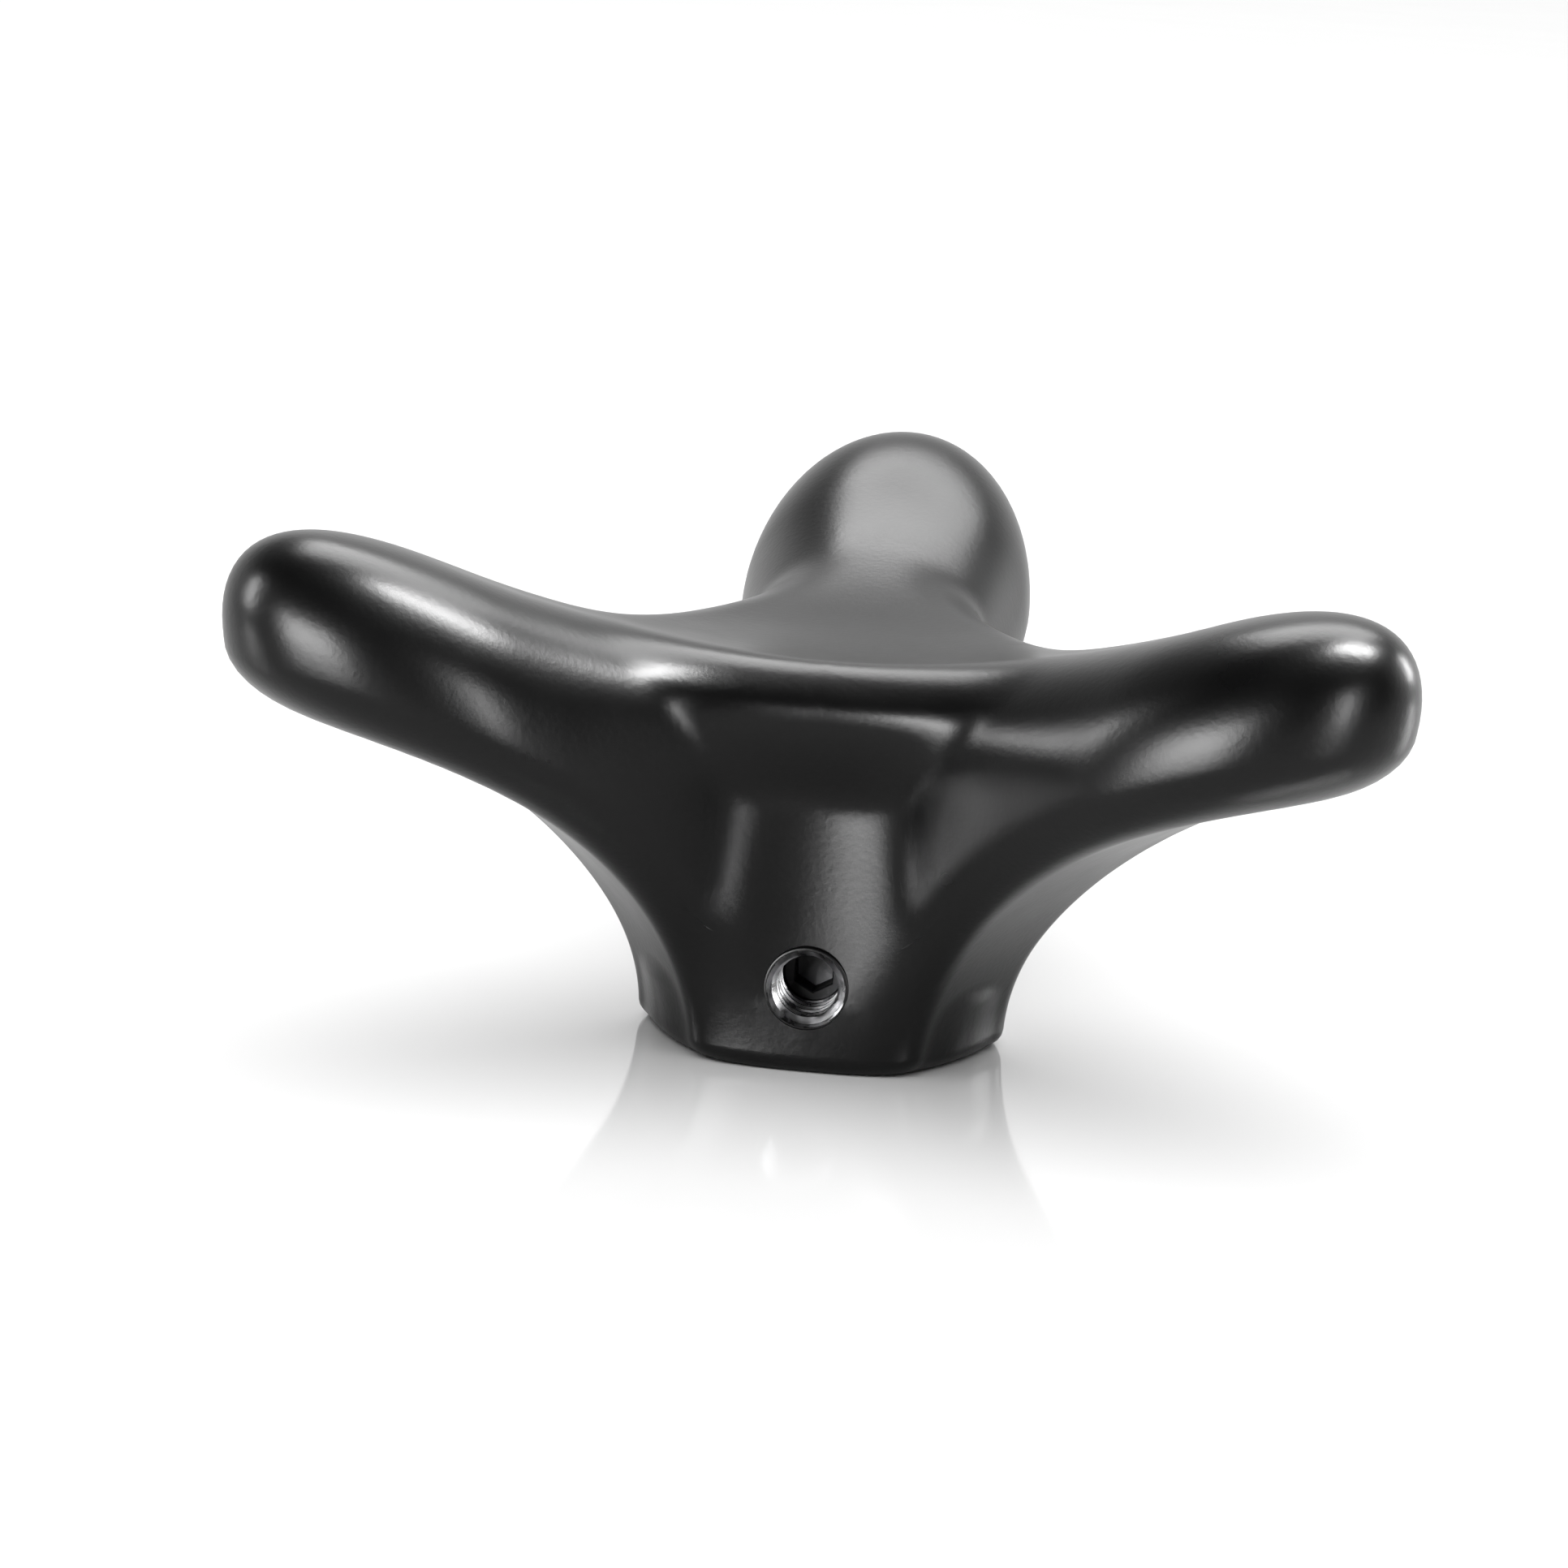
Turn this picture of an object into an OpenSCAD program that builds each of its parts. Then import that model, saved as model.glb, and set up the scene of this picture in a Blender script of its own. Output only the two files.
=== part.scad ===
// Three-armed hand nut: a cast body with a steel thread bush, locked by a side set screw.
// The origin is on the main thread's axis in the base plane, and +Z points out of the dished top.
// The arms point at 90, 210 and 330 degrees, and the set screw goes in from -Y.

/* [Arms] */
// Reach of an arm's tip from the axis
arm_reach = 54.25; // [53:0.25:55.5]
// Half width of an arm at the axis
arm_half_width_hub = 11.5; // [10.75:0.25:12]
// Half width that an arm widens to by its tip, which sets its rounded end
arm_half_width_tip = 15.25; // [14.5:0.25:16]
// How much narrower each side gets per millimetre below the top
arm_side_draft = 0.09; // [0.06:0.01:0.11]
// Length of an arm's rounded end against its half width
arm_end_stretch = 1.45; // [1.35:0.05:1.5]
// Rise of an arm's top from the dished centre to the tip
arm_rise = 17.5; // [16:0.5:19]

/* [Hub] */
// Height of the dished top at the axis
hub_height = 32.75; // [32:0.25:33.5]
// Distance from the axis to each flat of the base
flat_distance = 13.5; // [13.25:0.25:14]
// Height of the collar round the base
collar_height = 6.25; // [6:0.25:6.75]
// Radius of the collar's top edge
collar_edge_radius = 1.2; // [0.8:0.1:1.4]
// Blend where the webs rise out of the collar's top
collar_blend = 1; // [0.5:0.25:1.5]
// How far a web sinks back under the arms' top at the axis
web_scoop = 6.5; // [6:0.25:7]
// Depth below the top at which a web starts to sink back
scoop_start = 3; // [2.5:0.5:4]
// Height over which a web sinks back
scoop_depth = 9; // [8:0.5:10]
// How much a web comes forward again per millimetre further down
scoop_return = 0.18; // [0.15:0.01:0.2]
// Reach along an arm at which the sinking back has faded out
scoop_reach = 34; // [32:0.5:36]

/* [Ribs] */
// Reach of a rib's foot at the base
foot_reach = 14; // [13.5:0.25:14.5]
// Length of the arch under an arm
arch_length = 50.5; // [49:0.5:52]
// Height of the arch under an arm
arch_height = 34.75; // [34:0.25:35.5]
// How much the arch sinks per millimetre towards the tip
arch_sag = 0.11; // [0.08:0.01:0.13]
// Height of the upright foot below the arch
foot_height = 0.75; // [0.25:0.25:1.25]
// Squareness of the arch, where 2 is an ellipse
arch_power = 1.75; // [1.7:0.05:1.8]

/* [Rounded edges] */
// Radius along the top edges
top_edge_radius = 12; // [11:0.5:12.5]
// Radius along the underside edges
under_edge_radius = 4; // [3:0.5:5]
// Radius of the collar's upright corners
corner_radius = 5.75; // [5:0.25:6.5]
// Blend where arms and webs meet
crotch_blend = 13; // [12:0.5:14]
// Radius of the base's rim
base_rim_radius = 1.5; // [1:0.1:1.7]

/* [Main thread] */
// Outer diameter of the steel bush
bush_diameter = 14; // [13:0.5:14.5]
// Length of the steel bush
bush_length = 18; // [16:0.5:20]
// Depth of the main thread
main_thread_depth = 16; // [14:0.5:17]
// Tapping drill of the M8 main thread
main_drill = 6.8; // [6.6:0.1:6.9]

/* [Set screw] */
// Height of the set screw's axis above the base
screw_height = 7; // [6.75:0.25:7.25]
// Tapping drill of the M6 side hole
screw_drill = 5; // [4.9:0.05:5.1]
// Length of the set screw
screw_length = 3.25; // [3:0.25:3.5]
// Width across the flats of its hexagon socket
socket_width = 3; // [2.5:0.5:3]
// Depth of its hexagon socket
socket_depth = 2; // [1.5:0.25:2]
// Thickness of the soft brass pad ahead of the screw
pad_thickness = 0.8; // [0.6:0.1:1]
// Outer diameter of the raised rim round the side hole
rim_diameter = 7; // [6.6:0.1:7.4]

/* [Hidden] */
$fn = 96;

// Directions in plan of the first arm and of the side hole
FIRST_ARM = 90;
SCREW_SIDE = 270;

// Directions of the arms and of the webs between them, seen from the first arm
ARM_TURNS = [0, 120, 240];
WEB_TURNS = [60, 180, 300];

// Smooth maximum and minimum: an edge or a corner gets the radius r
function smooth_max(a, b, r) = min(-r, max(a, b)) + norm([max(r + a, 0), max(r + b, 0)]);
function smooth_min(a, b, r) = -smooth_max(-a, -b, r);

// Length along a direction in plan, and across it
function along(x, y, angle) = x * cos(angle) + y * sin(angle);
function across(x, y, angle) = y * cos(angle) - x * sin(angle);

// Height of an arm's top, and of the arch under it, at the reach r
function top_height(r) = hub_height + arm_rise * pow(max(r, 0) / arm_reach, 2);
function arch_floor(r) = foot_height - arch_sag * max(r - foot_reach, 0);
function arch_back(r) = max(foot_reach + arch_length - r, 0) / arch_length;
function arch_opening(r) =
    arch_floor(r) + arch_height * pow(1 - pow(min(arch_back(r), 1), arch_power), 1 / arch_power);

// Each field below is negative inside the shape and positive outside it.
// The side view of an arm and its rib, above the arch
function arch_field(r, z) =
    let (up = max(z - arch_floor(r), 0) / arch_height)
    arch_height * (1 - pow(pow(arch_back(r), arch_power) + pow(up, arch_power), 1 / arch_power));

// One arm's plan shape along r, with s across it, at a depth below the top
function plan_field(r, s, depth) =
    let (widening = (arm_half_width_tip - arm_half_width_hub) * min(max(r / arm_reach, 0), 1))
    let (straight = arm_half_width_hub + widening - arm_side_draft * max(depth, 0))
    let (sink = min(max((depth - scoop_start) / scoop_depth, 0), 1))
    let (nearness = min(max(1 - r / scoop_reach, 0), 1))
    let (forward = scoop_return * max(depth - scoop_start - scoop_depth, 0))
    let (half_width = straight - pow(nearness, 2) * (web_scoop * pow(sink, 2) * (3 - 2 * sink) - forward))
    let (end_start = arm_reach - arm_half_width_tip * arm_end_stretch)
    let (past_end = r > 0 ? max(r - end_start, 0) / arm_end_stretch : r)
    norm([past_end, s]) - half_width;

// The collar round the base: three flats whose corners end at the ribs
function collar_field(x, y, z) =
    let (faces = [for (turn = WEB_TURNS) along(x, y, turn) - flat_distance])
    let (ribs = [for (turn = ARM_TURNS) arch_field(along(x, y, turn), z)])
    let (one = smooth_max(max(faces), ribs[0], corner_radius))
    let (two = smooth_max(one, ribs[1], corner_radius))
    let (three = smooth_max(two, ribs[2], corner_radius))
    smooth_max(three, z - collar_height, collar_edge_radius);

// The whole casting, with the first arm along +X: the arms' star under the dished top, arched
// below, joined to the collar and cut off at the base
function nut_field(p) =
    let (reach = norm([p.x, p.y]))
    let (top = top_height(reach))
    let (above = (p.z - top) / norm([1, 2 * arm_rise * reach / pow(arm_reach, 2)]))
    let (arms = [for (turn = ARM_TURNS) plan_field(along(p.x, p.y, turn), across(p.x, p.y, turn), top - p.z)])
    let (star = smooth_min(smooth_min(arms[0], arms[1], crotch_blend), arms[2], crotch_blend))
    let (topped = smooth_max(star, above, top_edge_radius))
    let (ribs = [for (turn = ARM_TURNS) arch_field(along(p.x, p.y, turn), p.z)])
    let (one = smooth_max(topped, ribs[0], under_edge_radius))
    let (two = smooth_max(one, ribs[1], under_edge_radius))
    let (three = smooth_max(two, ribs[2], under_edge_radius))
    let (joined = smooth_min(three, collar_field(p.x, p.y, p.z), collar_blend))
    smooth_max(joined, -p.z, base_rim_radius);

// Mesh of the casting: rings of points over half of one arm's sector. Each point is where a ray
// from the arm's spine, inside the casting, leaves it.
SECTOR_STEPS = 16;
TOP_RINGS = 9;
SIDE_RINGS = 6;
UNDER_RINGS = 11;
BASE_RINGS = 4;
SEARCH_STEPS = 16;
SEARCH_MARGIN = 15;

// Where the mesh turns in between two arms: distance from the axis, and lowest side ring
CROTCH_DISTANCE = 14.5;
WEB_FOLD = 16.5;

// Share of a sector's plan outline that is the arm's straight side; the rest is its rounded end
SIDE_SHARE = 0.6;
SHOULDER = [arm_reach - arm_half_width_tip * arm_end_stretch, arm_half_width_tip];

// Where a sector's plan outline runs, from the crotch between two arms (0) to the tip (1)
function plan_outline(t) =
    let (crotch = CROTCH_DISTANCE * [cos(60), sin(60)])
    let (turn = 90 * (1 - max(t - SIDE_SHARE, 0) / (1 - SIDE_SHARE)))
    t <= SIDE_SHARE
        ? crotch + (SHOULDER - crotch) * t / SIDE_SHARE
        : [SHOULDER.x + (arm_reach - SHOULDER.x) * cos(turn), SHOULDER.y * sin(turn)];

// The spine's point at the reach r, and the reach that step t of the outline starts from
function spine_point(r) = [r, 0, (top_height(r) + arch_opening(r)) / 2];
function spine_reach(t) = SHOULDER.x * min(t / SIDE_SHARE, 1);

// Where the ray from one point through another leaves the casting, by halving the span in doubt
function crossing(origin, direction, near, far, steps) =
    let (middle = (near + far) / 2)
    steps == 0
        ? origin + middle * direction
        : nut_field(origin + middle * direction) < 0
        ? crossing(origin, direction, middle, far, steps - 1)
        : crossing(origin, direction, near, middle, steps - 1);

function surface_point(origin, target) =
    let (ray = target - origin)
    let (found = crossing(origin, ray / norm(ray), 0, norm(ray) + SEARCH_MARGIN, SEARCH_STEPS))
    [found.x, found.y, abs(found.z) < 0.01 ? 0 : found.z];

// Base outline just above its rounded rim, from the middle of a flat (0) to a rib's foot (1)
function base_outline(t) =
    let (angle = 60 * (1 - t))
    let (centre = [0, 0, base_rim_radius])
    let (found = surface_point(centre, centre + foot_reach * [cos(angle), sin(angle), 0]))
    [found.x, found.y];

// The point on ring i of column t, where foot is the column's end on the base outline
function ring_point(i, t, foot) =
    let (rim = plan_outline(t))
    let (top = top_height(norm(rim)))
    let (web_low = WEB_FOLD * (1 - min(t / SIDE_SHARE, 1)))
    let (low = max(min(arch_opening(rim.x), top - 3 * under_edge_radius), web_low))
    let (side_ring = i - TOP_RINGS)
    let (under_ring = side_ring - SIDE_RINGS)
    let (base_ring = under_ring - UNDER_RINGS)
    i < TOP_RINGS
        ? let (part = (i + 1) / TOP_RINGS)
            surface_point(spine_point(part * spine_reach(t)), [each part * rim, top_height(part * norm(rim))])
        : side_ring < SIDE_RINGS
        ? let (part = (side_ring + 1) / SIDE_RINGS)
            surface_point(spine_point(spine_reach(t)), [each rim, top + (low - top) * part])
        : under_ring < UNDER_RINGS
        ? let (left = 1 - (under_ring + 1) / UNDER_RINGS)
            let (plan = foot + (rim - foot) * pow(left, 1.7))
            let (height = base_rim_radius + (low - base_rim_radius) * pow(left, 1.2))
            surface_point(spine_point(left * spine_reach(t)), [each plan, height])
        : base_ring == 0
        ? surface_point([0, 0, base_rim_radius], [each foot - 0.3 * base_rim_radius * foot / norm(foot),
            0.3 * base_rim_radius])
        : let (inner = foot - base_rim_radius * foot / norm(foot))
            [each inner * (1 - (base_ring - 1) / (BASE_RINGS - 1)), 0];

function turned(p, angle) = [along(p.x, p.y, -angle), across(p.x, p.y, -angle), p.z];

// The casting as one closed mesh of rings, from the top's middle down to the base's middle
module casting() {
    rings = TOP_RINGS + SIDE_RINGS + UNDER_RINGS + BASE_RINGS;
    around = 6 * SECTOR_STEPS;
    feet = [for (j = [0:SECTOR_STEPS]) base_outline(j / SECTOR_STEPS)];
    half = [for (i = [0:rings - 1]) [for (j = [0:SECTOR_STEPS])
        ring_point(i, j / SECTOR_STEPS, feet[j])]];
    ring_points = [for (i = [0:rings - 1], turn = ARM_TURNS, j = [0:2 * SECTOR_STEPS - 1])
        let (mirrored = j > SECTOR_STEPS)
        let (p = half[i][mirrored ? 2 * SECTOR_STEPS - j : j])
        turned([p.x, mirrored ? p.y : -p.y, p.z], FIRST_ARM + turn)];
    top_middle = len(ring_points);
    base_middle = top_middle + 1;
    points = [each ring_points, surface_point(spine_point(0), [0, 0, hub_height]), [0, 0, 0]];
    faces = [
        for (k = [0:around - 1]) [top_middle, (k + 1) % around, k],
        for (i = [0:rings - 2], k = [0:around - 1])
            let (next = (k + 1) % around)
            each [
                [i * around + k, i * around + next, (i + 1) * around + next],
                [i * around + k, (i + 1) * around + next, (i + 1) * around + k]
            ],
        for (k = [0:around - 1])
            [(rings - 1) * around + k, (rings - 1) * around + (k + 1) % around, base_middle]
    ];
    polyhedron(points = points, faces = faces, convexity = 8);
}

// A shape drawn along +Z, laid along the set screw's axis so that +Z points out of the side hole
module on_screw_axis(distance) {
    translate([0, 0, screw_height]) rotate([0, 0, SCREW_SIDE]) rotate([0, 90, 0])
        translate([0, 0, distance]) children();
}

// Where the pad's tip and the screw's two ends lie on that axis, clear of an M8 stud's crests
PLAY = 0.05;
STUD_RADIUS = 4;
pad_start = STUD_RADIUS + PLAY;
screw_start = pad_start + pad_thickness + PLAY / 2;
rim_face = flat_distance + 0.1;

module body() {
    color([0.06, 0.06, 0.065]) difference() {
        union() {
            casting();
            on_screw_axis(bush_diameter / 2) cylinder(d = rim_diameter, h = rim_face - bush_diameter / 2);
        }
        translate([0, 0, -1]) cylinder(d = bush_diameter, h = bush_length + 1);
        on_screw_axis(0) cylinder(d = screw_drill, h = rim_face + 1);
    }
}

module threaded_bush() {
    color([0.32, 0.32, 0.33]) difference() {
        cylinder(d = bush_diameter, h = bush_length);
        translate([0, 0, -1]) cylinder(d = main_drill, h = main_thread_depth + 1);
        on_screw_axis(0) cylinder(d = screw_drill, h = bush_diameter);
    }
}

module set_screw() {
    bevel = 0.3;
    radius = screw_drill / 2 - PLAY;
    color([0.1, 0.1, 0.1]) on_screw_axis(screw_start) difference() {
        rotate_extrude() polygon([
            [0, 0], [radius - bevel, 0], [radius, bevel],
            [radius, screw_length - bevel], [radius - bevel, screw_length], [0, screw_length]
        ]);
        translate([0, 0, screw_length - socket_depth])
            cylinder(d = socket_width / cos(30), h = socket_depth + 1, $fn = 6);
    }
}

module brass_pad() {
    color([0.75, 0.6, 0.3]) on_screw_axis(pad_start)
        cylinder(r = screw_drill / 2 - PLAY, h = pad_thickness);
}

body();
threaded_bush();
set_screw();
brass_pad();
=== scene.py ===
"""Looks of the three-armed hand nut: enamelled casting, threaded bush, set screw and brass pad."""

import math

import bpy
import numpy as np
from mathutils import Matrix, Vector


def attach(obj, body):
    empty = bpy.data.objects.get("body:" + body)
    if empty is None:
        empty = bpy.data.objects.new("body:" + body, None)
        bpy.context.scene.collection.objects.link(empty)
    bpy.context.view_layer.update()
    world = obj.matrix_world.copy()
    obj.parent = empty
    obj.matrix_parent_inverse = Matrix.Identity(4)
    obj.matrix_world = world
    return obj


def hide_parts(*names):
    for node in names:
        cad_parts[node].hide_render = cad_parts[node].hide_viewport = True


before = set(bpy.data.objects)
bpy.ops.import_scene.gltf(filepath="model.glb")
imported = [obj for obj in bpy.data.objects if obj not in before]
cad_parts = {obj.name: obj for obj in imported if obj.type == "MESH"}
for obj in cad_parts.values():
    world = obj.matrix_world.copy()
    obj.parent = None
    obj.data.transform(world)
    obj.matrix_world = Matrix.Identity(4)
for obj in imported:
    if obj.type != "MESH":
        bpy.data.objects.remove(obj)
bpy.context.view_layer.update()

# ---------------------------------------------------------------- sizes, in millimetres
MM = 0.001
# Directions of the arms and of the webs between them, seen from the first arm
ARM_TURNS = (0.0, 120.0, 240.0)
WEB_TURNS = (60.0, 180.0, 300.0)
# Direction of the first arm, in degrees from +X
FIRST_ARM = 90.0

# Arms: reach, half width at the axis and at the tip, side taper, rounded end, rise of the top
ARM_REACH = 54.25
ARM_HALF_HUB = 11.5
ARM_HALF_TIP = 15.25
ARM_DRAFT = 0.09
END_STRETCH = 1.45
ARM_RISE = 17.5

# Hub and the low collar round its base
HUB_HEIGHT = 32.75
FLAT_DISTANCE = 13.5
COLLAR_HEIGHT = 6.25
COLLAR_EDGE = 1.2
COLLAR_BLEND = 1.0

# Arches under the arms, which run down as ribs to the foot
FOOT_REACH = 14.0
FOOT_HEIGHT = 0.75
ARCH_LENGTH = 50.5
ARCH_HEIGHT = 34.75
ARCH_SAG = 0.11
ARCH_POWER = 1.75

# Rounding of the top edges, the underside edges, the collar's corners, the crotches and the base
TOP_EDGE = 12.0
UNDER_EDGE = 4.0
CORNER = 5.75
CROTCH = 13.0
BASE_RIM = 1.5

# Webs: how far they sink back under the top, over which depths, and how they come forward again
SCOOP = 6.5
SCOOP_START = 3.0
SCOOP_DEPTH = 9.0
SCOOP_RETURN = 0.18
SCOOP_REACH = 34.0

# Steel bush, with its M8 thread
BUSH_RADIUS = 7.0
BUSH_LENGTH = 18.0
BUSH_BEVEL = 0.25
BUSH_END_BEVEL = 0.3
BUSH_CROSS_HOLE = 3.1
M8_MINOR = 3.4
M8_MAJOR = 4.0
M8_PITCH = 1.25
M8_DEPTH = 16.0
M8_DRILL_POINT = 17.0
M8_MOUTH = 4.15

# Side hole with its M6 thread, and the boss round it
SCREW_HEIGHT = 7.0
M6_MINOR = 2.5
M6_MAJOR = 3.0
M6_PITCH = 1.0
M6_MOUTH = 3.2
BARE_RADIUS = 3.16
BOSS_RADIUS = 3.5
BOSS_FACE = FLAT_DISTANCE + 0.1
BOSS_INNER = 3.25
BOSS_EDGE = 0.2
BOSS_FILLET = 0.55
BOSS_OVERLAP = 0.1
HOLE_UNDERCUT = 0.15
WEB_FACE = FLAT_DISTANCE - 2

# Set screw and brass pad, as distances along the side hole's axis from the main axis
SCREW_START = 4.875
SCREW_LENGTH = 3.25
SCREW_MINOR = 2.47
SCREW_MAJOR = 2.95
SCREW_POINT = 2.0
SCREW_BACK = 2.35
SCREW_BEVEL = 1.2
SOCKET_HALF_WIDTH = 1.5
SOCKET_DEPTH = 2.0
SOCKET_FLOOR = 2.3
SOCKET_BEVEL = 0.12
SOCKET_MOUTH = 1.85
PAD_START = 4.05
PAD_THICKNESS = 0.8
PAD_RADIUS = 2.45

# The casting's mesh: how many columns in half a sector and how many rings in each part
COLUMNS = 48
TOP_RINGS = 34
SIDE_RINGS = 22
UNDER_RINGS = 64
BASE_RINGS = 8
SIDE_SHARE = 0.6
CROTCH_DISTANCE = 14.5
WEB_FOLD = 16.5
RAY_MARGIN = 15.0
RAY_STEPS = 30

# Steps round a turned piece and round a cutter, and the distance at which points are merged
TURNED_STEPS = 72
CUTTER_STEPS = 96
MERGE = 1e-6


# ---------------------------------------------------------------- the casting's field
def smooth_max(a, b, r):
    """Where two fields meet, an edge with the radius r. A field is negative inside a shape."""
    round_part = np.hypot(np.maximum(r + a, 0), np.maximum(r + b, 0))
    return np.minimum(-r, np.maximum(a, b)) + round_part


def smooth_min(a, b, r):
    return -smooth_max(-a, -b, r)


def along(x, y, turn):
    """Length along a direction in plan."""
    return x * math.cos(math.radians(turn)) + y * math.sin(math.radians(turn))


def across(x, y, turn):
    """Length across a direction in plan."""
    return y * math.cos(math.radians(turn)) - x * math.sin(math.radians(turn))


def top_height(r):
    """Height of the dished top at the reach r."""
    return HUB_HEIGHT + ARM_RISE * (np.maximum(r, 0) / ARM_REACH) ** 2


def arch_floor(r):
    return FOOT_HEIGHT - ARCH_SAG * np.maximum(r - FOOT_REACH, 0)


def arch_back(r):
    return np.maximum(FOOT_REACH + ARCH_LENGTH - r, 0) / ARCH_LENGTH


def arch_opening(r):
    """Height of the arch under an arm at the reach r."""
    inside = 1 - np.minimum(arch_back(r), 1) ** ARCH_POWER
    return arch_floor(r) + ARCH_HEIGHT * inside ** (1 / ARCH_POWER)


def arch_field(r, z):
    """Side view of an arm and its rib, above the arch."""
    up = np.maximum(z - arch_floor(r), 0) / ARCH_HEIGHT
    reach = (arch_back(r) ** ARCH_POWER + up ** ARCH_POWER) ** (1 / ARCH_POWER)
    return ARCH_HEIGHT * (1 - reach)


def plan_field(r, s, depth):
    """Plan of one arm along r, with s across it, at a depth below the top."""
    share = np.clip(r / ARM_REACH, 0, 1)
    widening = (ARM_HALF_TIP - ARM_HALF_HUB) * share
    straight = ARM_HALF_HUB + widening - ARM_DRAFT * np.maximum(depth, 0)
    sink = np.clip((depth - SCOOP_START) / SCOOP_DEPTH, 0, 1)
    nearness = np.clip(1 - r / SCOOP_REACH, 0, 1)
    back_out = SCOOP_RETURN * np.maximum(depth - SCOOP_START - SCOOP_DEPTH, 0)
    half = straight - nearness * nearness * (SCOOP * sink * sink * (3 - 2 * sink) - back_out)
    end_start = ARM_REACH - ARM_HALF_TIP * END_STRETCH
    past_end = np.where(r > 0, np.maximum(r - end_start, 0) / END_STRETCH, r)
    return np.hypot(past_end, s) - half


def collar_field(x, y, z):
    """The low collar: three flats whose corners end at the ribs."""
    faces = [along(x, y, turn) - FLAT_DISTANCE for turn in WEB_TURNS]
    collar = np.max(faces, axis=0)
    for turn in ARM_TURNS:
        collar = smooth_max(collar, arch_field(along(x, y, turn), z), CORNER)
    return smooth_max(collar, z - COLLAR_HEIGHT, COLLAR_EDGE)


def nut_field(p):
    """The whole casting, with the first arm along +X."""
    x, y, z = p[..., 0], p[..., 1], p[..., 2]
    reach = np.hypot(x, y)
    top = top_height(reach)
    slope = 2 * ARM_RISE * reach / ARM_REACH ** 2
    arms = [plan_field(along(x, y, turn), across(x, y, turn), top - z) for turn in ARM_TURNS]
    star = smooth_min(smooth_min(arms[0], arms[1], CROTCH), arms[2], CROTCH)
    arms_and_top = smooth_max(star, (z - top) / np.hypot(1, slope), TOP_EDGE)
    for turn in ARM_TURNS:
        arms_and_top = smooth_max(arms_and_top, arch_field(along(x, y, turn), z), UNDER_EDGE)
    joined = smooth_min(arms_and_top, collar_field(x, y, z), COLLAR_BLEND)
    return smooth_max(joined, -z, BASE_RIM)


def crossing(origin, target):
    """Where the rays from origins inside the casting through targets leave it."""
    ray = target - origin
    span = np.linalg.norm(ray, axis=-1, keepdims=True)
    direction = ray / span
    near = np.zeros_like(span)
    far = span + RAY_MARGIN
    for _ in range(RAY_STEPS):
        middle = (near + far) / 2
        inside = nut_field(origin + middle * direction)[..., None] < 0
        near = np.where(inside, middle, near)
        far = np.where(inside, far, middle)
    return origin + near * direction


def plan_outline(t):
    """Half an arm's outline in plan, from the crotch at t = 0 to the tip at t = 1."""
    shoulder = np.array([ARM_REACH - ARM_HALF_TIP * END_STRETCH, ARM_HALF_TIP])
    crotch = CROTCH_DISTANCE * np.array([math.cos(math.pi / 3), math.sin(math.pi / 3)])
    side = crotch + (shoulder - crotch) * np.minimum(t / SIDE_SHARE, 1)[:, None]
    turn = math.pi / 2 * (1 - np.maximum(t - SIDE_SHARE, 0) / (1 - SIDE_SHARE))
    end_x = shoulder[0] + (ARM_REACH - shoulder[0]) * np.cos(turn)
    end = np.stack([end_x, shoulder[1] * np.sin(turn)], 1)
    return np.where((t <= SIDE_SHARE)[:, None], side, end)


def spine_point(r):
    """A point half way up inside the arm, where the rays start."""
    return np.stack([r, 0 * r, (top_height(r) + arch_opening(r)) / 2], -1)


def with_height(plan, z):
    return np.concatenate([plan, np.broadcast_to(z, plan.shape[:-1])[..., None]], -1)


def half_sector():
    """Rings of surface points over half of one arm's sector, with the arm along +X."""
    t = np.linspace(0, 1, COLUMNS + 1)
    rim = plan_outline(t)
    angle = math.pi / 3 * (1 - t)
    unit = np.stack([np.cos(angle), np.sin(angle)], 1)
    low_centre = np.broadcast_to([0.0, 0.0, BASE_RIM], (len(t), 3))
    foot = crossing(low_centre, with_height(FOOT_REACH * unit, BASE_RIM))[:, :2]
    top = top_height(np.linalg.norm(rim, axis=1))
    web_low = WEB_FOLD * (1 - np.minimum(t / SIDE_SHARE, 1))
    low = np.maximum(np.minimum(arch_opening(rim[:, 0]), top - 3 * UNDER_EDGE), web_low)
    spine = (ARM_REACH - ARM_HALF_TIP * END_STRETCH) * np.minimum(t / SIDE_SHARE, 1)
    rings = []
    for part in np.linspace(0, 1, TOP_RINGS + 1)[1:] ** 0.85:
        target = with_height(part * rim, top_height(part * np.linalg.norm(rim, axis=1)))
        rings.append(crossing(spine_point(part * spine), target))
    for part in np.linspace(0, 1, SIDE_RINGS + 1)[1:]:
        target = with_height(rim, top + (low - top) * part)
        rings.append(crossing(spine_point(spine), target))
    for left in np.linspace(1, 0, UNDER_RINGS + 1)[1:]:
        plan = foot + (rim - foot) * left ** 1.5
        target = with_height(plan, BASE_RIM + (low - BASE_RIM) * left ** 1.2)
        rings.append(crossing(spine_point(left * spine), target))
    for share in (0.7, 0.42, 0.2, 0.06):
        target = with_height(foot - (1 - share) ** 2 * 0.5 * BASE_RIM * unit, share * BASE_RIM)
        rings.append(crossing(low_centre, target))
    inner = foot - BASE_RIM * unit
    for share in np.linspace(1, 0, BASE_RINGS + 1)[:-1]:
        rings.append(with_height(inner * share, 0.0))
    return np.array(rings)


# ---------------------------------------------------------------- meshes
def new_object(name, vertices, faces):
    mesh = bpy.data.meshes.new(name)
    mesh.from_pydata([tuple(v) for v in vertices], [], [tuple(f) for f in faces])
    mesh.validate()
    mesh.update()
    thing = bpy.data.objects.new(name, mesh)
    bpy.context.scene.collection.objects.link(thing)
    return thing


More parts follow.
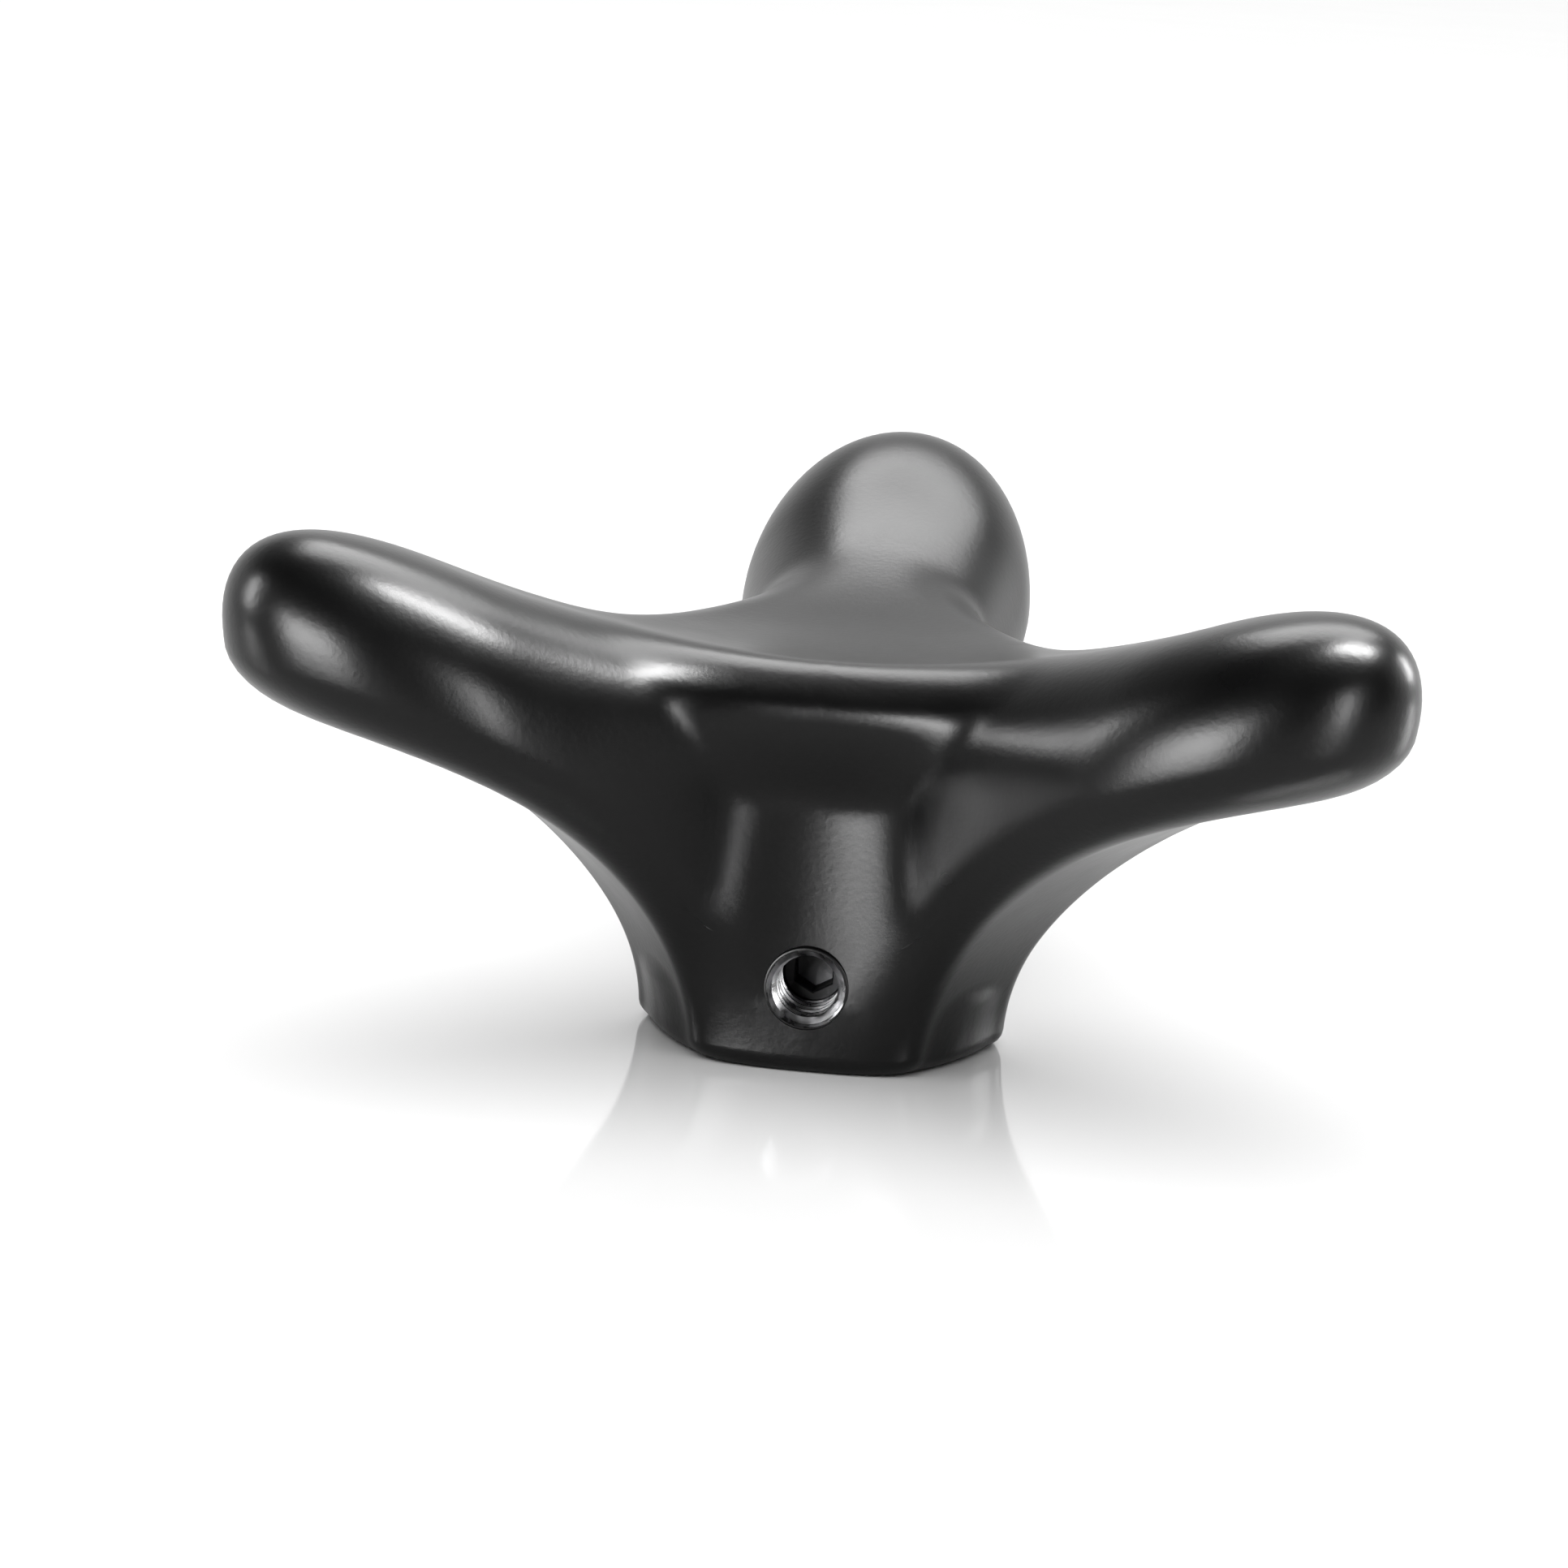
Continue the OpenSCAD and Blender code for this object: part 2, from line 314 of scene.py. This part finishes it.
def only_selected(thing):
    bpy.ops.object.select_all(action="DESELECT")
    thing.select_set(True)
    bpy.context.view_layer.objects.active = thing


def shade_smooth(thing, sharp_degrees):
    only_selected(thing)
    bpy.ops.object.shade_smooth_by_angle(angle=math.radians(sharp_degrees))


def clean(thing, distance):
    """Merges doubled points and turns every face outwards."""
    only_selected(thing)
    bpy.ops.object.mode_set(mode="EDIT")
    bpy.ops.mesh.select_all(action="SELECT")
    bpy.ops.mesh.remove_doubles(threshold=distance)
    bpy.ops.mesh.dissolve_degenerate(threshold=distance)
    bpy.ops.mesh.select_all(action="SELECT")
    bpy.ops.mesh.normals_make_consistent(inside=False)
    bpy.ops.object.mode_set(mode="OBJECT")


def cut(thing, cutter):
    step = thing.modifiers.new("cut", "BOOLEAN")
    step.operation = "DIFFERENCE"
    step.solver = "EXACT"
    step.object = cutter
    only_selected(thing)
    bpy.ops.object.modifier_apply(modifier="cut")
    bpy.data.objects.remove(cutter)


def join(things, name):
    only_selected(things[0])
    for other in things[1:]:
        other.select_set(True)
    bpy.ops.object.join()
    things[0].name = name
    things[0].data.name = name
    return things[0]


def casting_mesh():
    """The casting as one closed mesh of rings from the top's middle to the base's middle."""
    half = half_sector()
    count = half.shape[0]
    blocks = []
    for turn in ARM_TURNS:
        c = math.cos(math.radians(FIRST_ARM + turn))
        s = math.sin(math.radians(FIRST_ARM + turn))
        mirrored = half * np.array([1.0, -1.0, 1.0])
        block = np.concatenate([mirrored, half[:, ::-1][:, 1:-1]], 1)
        x, y, z = block[..., 0], block[..., 1], block[..., 2]
        blocks.append(np.stack([x * c - y * s, x * s + y * c, z], -1))
    rings = np.concatenate(blocks, 1)
    around = rings.shape[1]
    top_middle = crossing(np.array([[0.0, 0.0, HUB_HEIGHT / 2]]), np.array([[0.0, 0.0, HUB_HEIGHT]]))
    vertices = np.concatenate([rings.reshape(-1, 3), top_middle, [[0.0, 0.0, 0.0]]]) * MM
    faces = []
    last = count * around
    for k in range(around):
        after = (k + 1) % around
        faces.append((last, k, after))
        for i in range(count - 1):
            a = i * around
            b = a + around
            faces.append((a + after, a + k, b + k, b + after))
        faces.append(((count - 1) * around + after, (count - 1) * around + k, last + 1))
    return new_object("casting", vertices, faces)


def lathe(rows, closed, end_height=None, wrap=None, steps=TURNED_STEPS):
    """Points and faces from rows of (radius, height), one entry per step round the Z axis.

    closed puts a middle point on both ends, the last one at end_height if that is given. wrap says
    how many rows further on each row's turn closes, which is what makes a thread.
    """
    rows = [(np.broadcast_to(r, steps), np.broadcast_to(u, steps)) for r, u in rows]
    angle = np.arange(steps) * 2 * math.pi / steps
    vertices = []
    for r, u in rows:
        vertices.append(np.stack([r * np.cos(angle), r * np.sin(angle), u], 1))
    vertices = np.concatenate(vertices)
    faces = []
    shift = wrap or [0] * len(rows)
    for i in range(len(rows) - 1):
        for j in range(steps):
            a, b = i, i + 1
            if j == steps - 1:
                a, b = a + shift[a], b + shift[b]
            after = (j + 1) % steps
            quad = (i * steps + j, (i + 1) * steps + j, b * steps + after, a * steps + after)
            faces.append(quad)
    if closed:
        start_height = float(np.mean(rows[0][1]))
        if end_height is None:
            end_height = float(np.mean(rows[-1][1]))
        first = len(vertices)
        base = (len(rows) - 1) * steps
        vertices = np.concatenate([vertices, [[0, 0, start_height], [0, 0, end_height]]])
        faces += [(first, j, (j + 1) % steps) for j in range(steps)]
        faces += [(first + 1, base + (j + 1) % steps, base + j) for j in range(steps)]
    return vertices, faces


def thread_rows(minor, major, pitch, low, high):
    """Rows of a right-handed thread between two heights, and each row's shift where a turn closes."""
    # Shares of the pitch where the thread's profile has points, and the flats of a 60 degree thread
    phases = (0.0, 0.125, 0.229, 0.333, 0.4375, 0.5, 0.5625, 0.667, 0.771, 0.875)
    crest_flat = 0.125
    flank = 0.625
    turn = np.arange(TURNED_STEPS) / TURNED_STEPS
    rows = []
    first = math.floor(low / pitch) - 2
    final = math.ceil(high / pitch) + 2
    for n in range(first, final):
        for phase in phases:
            height = np.clip((n + phase + turn) * pitch, low, high)
            part = np.mod(height / pitch - turn, 1.0)
            off = np.abs(part - 0.5) * 2
            depth = np.clip((off - crest_flat) / flank, 0, 1)
            rows.append((major - (major - minor) * depth, height))
    per_turn = len(phases)
    shifts = [min(per_turn, len(rows) - 1 - i) for i in range(len(rows))]
    return rows, shifts


def on_screw_axis(vertices):
    """Lays a shape made along +Z onto the side hole's axis, so that +Z points out of the hole."""
    x, y, z = vertices[:, 0], vertices[:, 1], vertices[:, 2]
    return np.stack([x, -z, y + SCREW_HEIGHT], 1)


def threaded_sleeve(name, outer_rows, low, high, mouth):
    """A ring with the M6 thread inside; outer_rows close it round the outside from high to low."""
    rows, shifts = thread_rows(M6_MINOR, M6_MAJOR, M6_PITCH, low, high)
    opened = [(np.maximum(r, mouth - (high - u)), u) for r, u in rows]
    wrap = shifts + [0] * (len(outer_rows) + 1)
    vertices, faces = lathe(opened + outer_rows + [opened[0]], False, wrap=wrap)
    thing = new_object(name, on_screw_axis(vertices) * MM, faces)
    clean(thing, MERGE)
    return thing


def plain_cylinder(name, radius, low, high, side=False):
    """A cutter along the main axis, or along the side hole's axis."""
    vertices, faces = lathe([(radius, low), (radius, high)], True, steps=CUTTER_STEPS)
    if side:
        vertices = on_screw_axis(vertices)
    thing = new_object(name, vertices * MM, faces)
    clean(thing, MERGE)
    return thing


def set_material(thing, material):
    thing.data.materials.clear()
    thing.data.materials.append(material)


# ---------------------------------------------------------------- materials
def new_material(name):
    material = bpy.data.materials.new(name)
    material.use_nodes = True
    nodes = material.node_tree.nodes
    return material, nodes, material.node_tree.links, nodes["Principled BSDF"]


def noise(nodes, links, place, scale, detail, roughness=0.5):
    node = nodes.new("ShaderNodeTexNoise")
    node.inputs["Scale"].default_value = scale
    node.inputs["Detail"].default_value = detail
    node.inputs["Roughness"].default_value = roughness
    links.new(place.outputs["Object"], node.inputs["Vector"])
    return node


def ramp(nodes, links, source, low, high, low_place=0.3, high_place=0.7):
    node = nodes.new("ShaderNodeMapRange")
    node.inputs["From Min"].default_value = low_place
    node.inputs["From Max"].default_value = high_place
    node.inputs["To Min"].default_value = low
    node.inputs["To Max"].default_value = high
    links.new(source, node.inputs["Value"])
    return node


def bump(nodes, links, source, distance, strength, before=None):
    node = nodes.new("ShaderNodeBump")
    node.inputs["Distance"].default_value = distance
    node.inputs["Strength"].default_value = strength
    links.new(source, node.inputs["Height"])
    if before is not None:
        links.new(before.outputs["Normal"], node.inputs["Normal"])
    return node


def mixed_colour(nodes, links, factor, first, second):
    node = nodes.new("ShaderNodeMix")
    node.data_type = "RGBA"
    node.inputs[6].default_value = (*first, 1)
    node.inputs[7].default_value = (*second, 1)
    links.new(factor, node.inputs[0])
    return node


def enamel():
    """Black gloss enamel: fine orange peel, slow waviness, faint dust."""
    material, nodes, links, shader = new_material("black_enamel")
    place = nodes.new("ShaderNodeTexCoord")
    peel = noise(nodes, links, place, 1900, 2, 0.55)
    wave = noise(nodes, links, place, 260, 2)
    cloud = noise(nodes, links, place, 90, 4)
    dust = noise(nodes, links, place, 5200, 3, 0.6)
    first = bump(nodes, links, wave.outputs["Fac"], 0.00002, 0.5)
    second = bump(nodes, links, peel.outputs["Fac"], 0.000022, 0.6, first)
    links.new(second.outputs["Normal"], shader.inputs["Normal"])
    rough = ramp(nodes, links, cloud.outputs["Fac"], 0.27, 0.34)
    links.new(rough.outputs["Result"], shader.inputs["Roughness"])
    specks = ramp(nodes, links, dust.outputs["Fac"], 0, 1, 0.66, 0.8)
    black, dusty = (0.0015, 0.0015, 0.0016), (0.008, 0.008, 0.008)
    colour = mixed_colour(nodes, links, specks.outputs["Result"], black, dusty)
    links.new(colour.outputs[2], shader.inputs["Base Color"])
    shader.inputs["Specular IOR Level"].default_value = 0.2
    return material


def machined(name, dark, light, rough_low, rough_high, grain):
    """Bare turned metal with fine tool marks, darker in patches."""
    material, nodes, links, shader = new_material(name)
    place = nodes.new("ShaderNodeTexCoord")
    marks = noise(nodes, links, place, grain, 3, 0.7)
    patches = noise(nodes, links, place, 700, 3)
    surface = bump(nodes, links, marks.outputs["Fac"], 0.000012, 0.7)
    links.new(surface.outputs["Normal"], shader.inputs["Normal"])
    rough = ramp(nodes, links, patches.outputs["Fac"], rough_low, rough_high)
    links.new(rough.outputs["Result"], shader.inputs["Roughness"])
    blend = ramp(nodes, links, patches.outputs["Fac"], 0, 1, 0.35, 0.65)
    colour = mixed_colour(nodes, links, blend.outputs["Result"], dark, light)
    links.new(colour.outputs[2], shader.inputs["Base Color"])
    shader.inputs["Metallic"].default_value = 1.0
    return material


def oxide():
    """Black oxide on steel: nearly matt, slightly rubbed."""
    material, nodes, links, shader = new_material("black_oxide")
    place = nodes.new("ShaderNodeTexCoord")
    grain = noise(nodes, links, place, 4200, 3, 0.6)
    rubs = noise(nodes, links, place, 900, 4)
    surface = bump(nodes, links, grain.outputs["Fac"], 0.00001, 0.5)
    links.new(surface.outputs["Normal"], shader.inputs["Normal"])
    rough = ramp(nodes, links, rubs.outputs["Fac"], 0.35, 0.55)
    links.new(rough.outputs["Result"], shader.inputs["Roughness"])
    blend = ramp(nodes, links, rubs.outputs["Fac"], 0, 1, 0.55, 0.8)
    black, rubbed = (0.012, 0.012, 0.013), (0.06, 0.06, 0.06)
    colour = mixed_colour(nodes, links, blend.outputs["Result"], black, rubbed)
    links.new(colour.outputs[2], shader.inputs["Base Color"])
    shader.inputs["Metallic"].default_value = 0.6
    return material


def table_top():
    """Plain pale floor with a soft sheen."""
    material, nodes, links, shader = new_material("pale_table")
    place = nodes.new("ShaderNodeTexCoord")
    mottle = noise(nodes, links, place, 14, 3)
    rough = ramp(nodes, links, mottle.outputs["Fac"], 0.06, 0.09)
    links.new(rough.outputs["Result"], shader.inputs["Roughness"])
    pale, paler = (0.86, 0.86, 0.86), (0.88, 0.88, 0.88)
    colour = mixed_colour(nodes, links, mottle.outputs["Fac"], pale, paler)
    links.new(colour.outputs[2], shader.inputs["Base Color"])
    return material


# ---------------------------------------------------------------- pieces
enamel_material = enamel()
bare_alloy = machined("bare_alloy", (0.1, 0.1, 0.1), (0.32, 0.32, 0.33), 0.22, 0.42, 3000)
bright_steel = machined("bright_steel", (0.38, 0.38, 0.39), (0.5, 0.5, 0.51), 0.2, 0.34, 2600)
black_oxide = oxide()
turned_brass = machined("turned_brass", (0.6, 0.43, 0.18), (0.78, 0.58, 0.28), 0.2, 0.35, 2600)


def boss_profile():
    """Rows of the boss round the side hole: rounded front edge, straight wall, fillet into the web."""
    shoulder = BOSS_RADIUS - BOSS_EDGE
    profile = [(BOSS_INNER, BOSS_FACE), (shoulder, BOSS_FACE)]
    for k in range(1, 6):
        turn = math.radians(18 * k)
        high = BOSS_FACE - BOSS_EDGE + BOSS_EDGE * math.cos(turn)
        profile.append((shoulder + BOSS_EDGE * math.sin(turn), high))
    for k in range(0, 7):
        turn = math.radians(15 * k)
        high = WEB_FACE + BOSS_FILLET * (1 - math.sin(turn))
        profile.append((BOSS_RADIUS + BOSS_FILLET * (1 - math.cos(turn)), high))
    profile.append((BOSS_RADIUS + BOSS_FILLET, WEB_FACE - 0.8))
    profile.append((BOSS_RADIUS - BOSS_OVERLAP, WEB_FACE - 1.2))
    profile.append((BOSS_RADIUS - BOSS_OVERLAP, BUSH_RADIUS))
    return profile


def build_body():
    casting = casting_mesh()
    cut(casting, plain_cylinder("socket", BUSH_RADIUS, -1, BUSH_LENGTH))
    hole_radius = BOSS_RADIUS - HOLE_UNDERCUT
    cut(casting, plain_cylinder("side_hole", hole_radius, 1, BOSS_FACE + 3, side=True))
    shade_smooth(casting, 50)
    set_material(casting, enamel_material)
    boss = threaded_sleeve("boss", boss_profile(), BUSH_RADIUS, BOSS_FACE, M6_MOUTH)
    boss.data.materials.append(enamel_material)
    boss.data.materials.append(bare_alloy)
    for face in boss.data.polygons:
        radius = math.hypot(face.center.x, face.center.z - SCREW_HEIGHT * MM)
        face.material_index = 1 if radius < BARE_RADIUS * MM else 0
    shade_smooth(boss, 32)
    return join([casting, boss], "hand_nut_casting")


def build_bush():
    rows, shifts = thread_rows(M8_MINOR, M8_MAJOR, M8_PITCH, 0.0, M8_DEPTH)
    opened = [(np.maximum(r, M8_MOUTH - u), u) for r, u in rows]
    outside = [(BUSH_RADIUS - BUSH_END_BEVEL, BUSH_LENGTH), (BUSH_RADIUS, BUSH_LENGTH - BUSH_END_BEVEL),
               (BUSH_RADIUS, BUSH_BEVEL), (BUSH_RADIUS - BUSH_BEVEL, 0.0)]
    wrap = [0] * len(outside) + shifts
    vertices, faces = lathe(outside + opened, True, end_height=M8_DRILL_POINT, wrap=wrap)
    bush = new_object("bush", vertices * MM, faces)
    clean(bush, MERGE)
    cut(bush, plain_cylinder("bush_side_hole", BUSH_CROSS_HOLE, 1, BUSH_RADIUS + 2, side=True))
    shade_smooth(bush, 32)
    set_material(bush, bright_steel)
    return bush


def build_screw():
    high = SCREW_START + SCREW_LENGTH
    rows, shifts = thread_rows(SCREW_MINOR, SCREW_MAJOR, M6_PITCH, SCREW_START, high)
    shaped = []
    for r, u in rows:
        point = SCREW_POINT + (u - SCREW_START) * SCREW_BEVEL
        back = SCREW_BACK + (high - u) * SCREW_BEVEL
        shaped.append((np.minimum(r, np.minimum(point, back)), u))
    # Angle from the middle of the nearest of the socket's six flats
    sixth = math.pi / 3
    angle = (np.arange(TURNED_STEPS) * 2 * math.pi / TURNED_STEPS + sixth / 2) % sixth - sixth / 2
    hexagon = SOCKET_HALF_WIDTH / np.cos(angle)
    socket = [(np.minimum(hexagon + SOCKET_BEVEL, SOCKET_MOUTH), high),
              (hexagon, high - SOCKET_BEVEL),
              (hexagon, high - SOCKET_DEPTH)]
    wrap = shifts + [0] * len(socket)
    vertices, faces = lathe(shaped + socket, True, end_height=high - SOCKET_FLOOR, wrap=wrap)
    screw = new_object("grub_screw", on_screw_axis(vertices) * MM, faces)
    clean(screw, MERGE)
    shade_smooth(screw, 30)
    set_material(screw, black_oxide)
    return screw


def build_pad():
    end = PAD_START + PAD_THICKNESS
    rows = [(2.2, PAD_START), (2.42, PAD_START + 0.12), (PAD_RADIUS, PAD_START + 0.2),
            (PAD_RADIUS, end - 0.15), (2.3, end)]
    vertices, faces = lathe(rows, True)
    pad = new_object("brass_tip", on_screw_axis(vertices) * MM, faces)
    clean(pad, MERGE)
    shade_smooth(pad, 30)
    set_material(pad, turned_brass)
    return pad


casting = build_body()
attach(casting, "nut")
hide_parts("body")

bush = build_bush()
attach(bush, "nut")
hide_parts("threaded_bush")

screw = build_screw()
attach(screw, "screw")
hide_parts("set_screw")

pad = build_pad()
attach(pad, "pad")
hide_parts("brass_pad")

# ---------------------------------------------------------------- floor and lights
FLOOR_SIZE = 3.0
FLOOR_STEPS = 12


def build_floor():
    places = [(i / FLOOR_STEPS - 0.5) * FLOOR_SIZE for i in range(FLOOR_STEPS + 1)]
    points = [(x, y, 0.0) for x in places for y in places]
    faces = []
    for i in range(FLOOR_STEPS):
        for j in range(FLOOR_STEPS):
            a = i * (FLOOR_STEPS + 1) + j
            faces.append((a, a + FLOOR_STEPS + 1, a + FLOOR_STEPS + 2, a + 1))
    floor = new_object("floor", points, faces)
    set_material(floor, table_top())
    return floor


build_floor()


def softbox(name, azimuth, elevation, distance, width, height, radiance, seen=True):
    """An area light that looks as bright as radiance, where white in the picture is 1.

    It hangs in the direction azimuth (0 is in front of the side hole) and elevation, and looks at the
    nut. A light that is seen only makes highlights, and one that isn't only lights the table.
    """
    light = bpy.data.lights.new(name, "AREA")
    light.shape = "RECTANGLE"
    light.size = width
    light.size_y = height
    light.energy = radiance * math.pi * width * height
    thing = bpy.data.objects.new(name, light)
    bpy.context.scene.collection.objects.link(thing)
    a, e = math.radians(azimuth), math.radians(elevation)
    back = Vector((math.sin(a) * math.cos(e), -math.cos(a) * math.cos(e), math.sin(e)))
    thing.location = Vector((0, 0, 0.02)) + back * distance
    thing.visible_diffuse = not seen
    thing.visible_glossy = seen
    thing.rotation_mode = "QUATERNION"
    thing.rotation_quaternion = (-back).to_track_quat("-Z", "Y")
    return thing


softbox("overhead_back_box", 172, 56, 0.7, 0.55, 0.4, 10)
softbox("table_light", 0, 84, 1.0, 2.0, 2.0, 2.4, seen=False)
softbox("overhead_right_strip", 100, 64, 0.6, 0.16, 0.3, 90)
softbox("left_box", -84, 16, 0.5, 0.05, 0.22, 45)
softbox("front_right_strip", 45, 8, 0.5, 0.05, 0.2, 45)
softbox("front_left_box", -30, 4, 0.5, 0.3, 0.2, 32)
softbox("back_right_strip", 128, 12, 0.5, 0.05, 0.15, 40)


def studio_world():
    """White backdrop behind the object, dim room in front of it."""
    world = bpy.data.worlds.new("studio")
    bpy.context.scene.world = world
    world.use_nodes = True
    nodes = world.node_tree.nodes
    links = world.node_tree.links
    place = nodes.new("ShaderNodeTexCoord")
    parts = nodes.new("ShaderNodeSeparateXYZ")
    links.new(place.outputs["Generated"], parts.inputs["Vector"])
    behind = ramp(nodes, links, parts.outputs["Y"], 0.05, 1.15, 0.0, 0.45)
    high = ramp(nodes, links, parts.outputs["Z"], 1.0, 0.25, 0.3, 0.6)
    both = nodes.new("ShaderNodeMath")
    both.operation = "MULTIPLY"
    links.new(behind.outputs["Result"], both.inputs[0])
    links.new(high.outputs["Result"], both.inputs[1])
    links.new(both.outputs["Value"], nodes["Background"].inputs["Strength"])
    nodes["Background"].inputs["Color"].default_value = (1, 1, 1, 1)


studio_world()

# ---------------------------------------------------------------- camera
CAMERA_AZIMUTH = 5.78
CAMERA_ELEVATION = 14.11
CAMERA_ROLL = 3.57
CAMERA_DISTANCE = 0.403
CAMERA_LENS = 112.5
TARGET_HEIGHT = 0.0164
AIM_RIGHT = -0.004
AIM_UP = 0.00425


def build_camera():
    az, el, roll = (math.radians(v) for v in (CAMERA_AZIMUTH, CAMERA_ELEVATION, CAMERA_ROLL))
    towards = Vector((math.sin(az) * math.cos(el), -math.cos(az) * math.cos(el), math.sin(el)))
    level_right = Vector((math.cos(az), math.sin(az), 0))
    level_up = towards.cross(level_right)
    rolled_right = level_right * math.cos(roll) + level_up * math.sin(roll)
    rolled_up = -level_right * math.sin(roll) + level_up * math.cos(roll)
    hub_centre = Vector((0, 0, TARGET_HEIGHT))
    position = hub_centre + towards * CAMERA_DISTANCE
    aim = hub_centre + rolled_right * AIM_RIGHT + rolled_up * AIM_UP
    back = (position - aim).normalized()
    right = rolled_up.cross(back).normalized()
    up = back.cross(right)
    data = bpy.data.cameras.new("camera")
    data.sensor_width = 36
    data.lens = CAMERA_LENS
    data.clip_start = 0.01
    data.clip_end = 20
    camera = bpy.data.objects.new("camera", data)
    bpy.context.scene.collection.objects.link(camera)
    turned = Matrix((right, up, back)).transposed().to_4x4()
    camera.matrix_world = Matrix.Translation(position) @ turned
    return camera


bpy.context.scene.camera = build_camera()

bpy.context.scene.view_settings.view_transform = "Standard"
